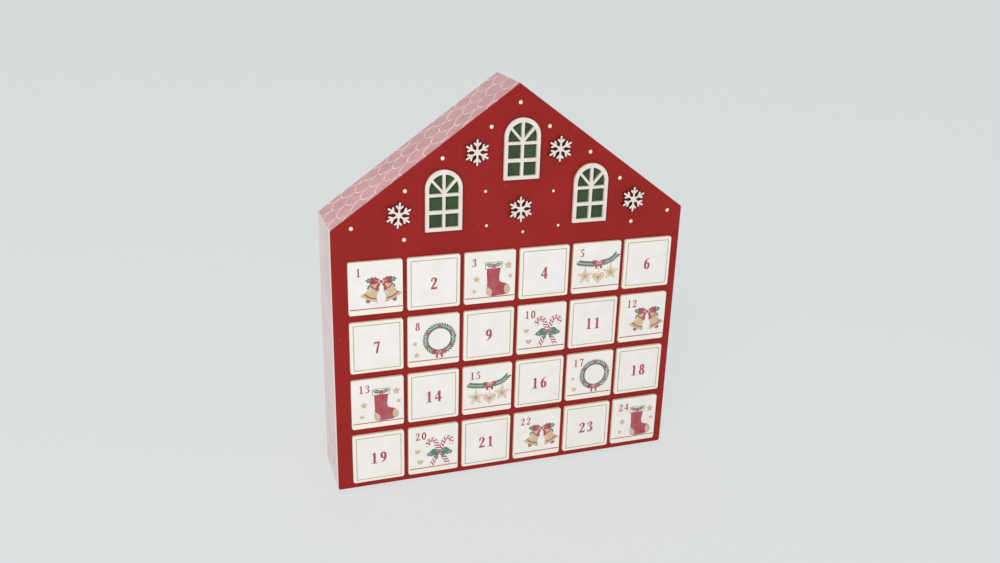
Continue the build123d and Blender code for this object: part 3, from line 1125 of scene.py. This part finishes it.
PICTURES = (bells, stocking, biscuits, wreath, sugar_canes)
for day in range(1, DRAWERS + 1):
    film = Print(day)
    if day in PICTURE_DAYS:
        picture_front(film, day, PICTURES[PICTURE_DAYS.index(day) % len(PICTURES)])
    else:
        plain_front(film, day)
    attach(film.piece(), film.drawer)

# Studio
# A pale floor that runs back past the top of the picture, a broad soft lamp above and to the left, and a
# pale room all round. The camera looks down at the calendar from its left.
BACKDROP = "DDDFE0"
FLOOR_PALE = "F3F5F6"
FLOOR_REACH = 20
SHADOW_SHARE = 0.2
CAMERA_PLACE = (-0.2816, -0.7888, 0.4889)
CAMERA_LOOK = (0.3120017, 0.88288689, -0.35094968)
CAMERA_UP = (0.08953202, 0.34042279, 0.93600018)
CAMERA_LENS = 35.19
LAMP_PLACE = (-1.25, -1.75, 1.25)
LAMP_AIM = (0, 0, 0.18)
LAMP_SIZE = 1
LAMP_POWER = 24
ROOM_LIGHT = 0.86

floor_mesh = bpy.data.meshes.new("floor")
floor_signs = ((-1, -1), (1, -1), (1, 1), (-1, 1))
floor_mesh.from_pydata([(x * FLOOR_REACH, y * FLOOR_REACH, 0) for x, y in floor_signs], [], [(0, 1, 2, 3)])
floor = put_in_scene("floor", floor_mesh)


def seen_rays(wiring):
    """1 for what the camera sees, also in a reflection or through glass."""
    path = wiring.node("ShaderNodeLightPath")
    rays = path.out("Is Camera Ray") + path.out("Is Glossy Ray") + path.out("Is Transmission Ray")
    return wiring.maths("MINIMUM", rays, 1)


sweep = Finish("floor_paint")
fleck = sweep.mottle(2 * MM)
floor_hue = sweep.mix(fleck * 0.1, colour(FLOOR_PALE), colour(BACKDROP))
sweep.surface((floor_hue, 0.9, fleck), depth=0.01 * MM, shine=0)
glow = sweep.node("ShaderNodeEmission", {}, {"Color": colour(BACKDROP), "Strength": 1})
shown = sweep.node("ShaderNodeMixShader", {}, {
    0: seen_rays(sweep) * (1 - SHADOW_SHARE), 1: Value(sweep, sweep.shader.outputs["BSDF"]), 2: glow,
})
sweep.feed(sweep.tree.nodes["Material Output"], "Surface", shown)
floor_mesh.materials.append(sweep.material)

room = bpy.data.worlds.new("room")
room.use_nodes = True
bpy.context.scene.world = room
air = Wiring(room.node_tree)
room_level = ROOM_LIGHT + (1 - ROOM_LIGHT) * seen_rays(air)
air.feed(air.tree.nodes["Background"], "Color", colour(BACKDROP))
air.feed(air.tree.nodes["Background"], "Strength", room_level)

lamp_data = bpy.data.lights.new("soft_lamp", "AREA")
lamp_data.size = LAMP_SIZE
lamp_data.energy = LAMP_POWER
lamp = put_in_scene("soft_lamp", lamp_data)
lamp.location = LAMP_PLACE
lamp.rotation_euler = (Vector(LAMP_AIM) - Vector(LAMP_PLACE)).to_track_quat("-Z", "Y").to_euler()

camera_data = bpy.data.cameras.new("camera")
camera_data.lens = CAMERA_LENS
camera = put_in_scene("camera", camera_data)
look, up = Vector(CAMERA_LOOK), Vector(CAMERA_UP)
facing = Matrix((look.cross(up), up, -look)).transposed()
camera.matrix_world = Matrix.Translation(CAMERA_PLACE) @ facing.to_4x4()
bpy.context.scene.camera = camera
bpy.context.scene.view_settings.view_transform = "Standard"
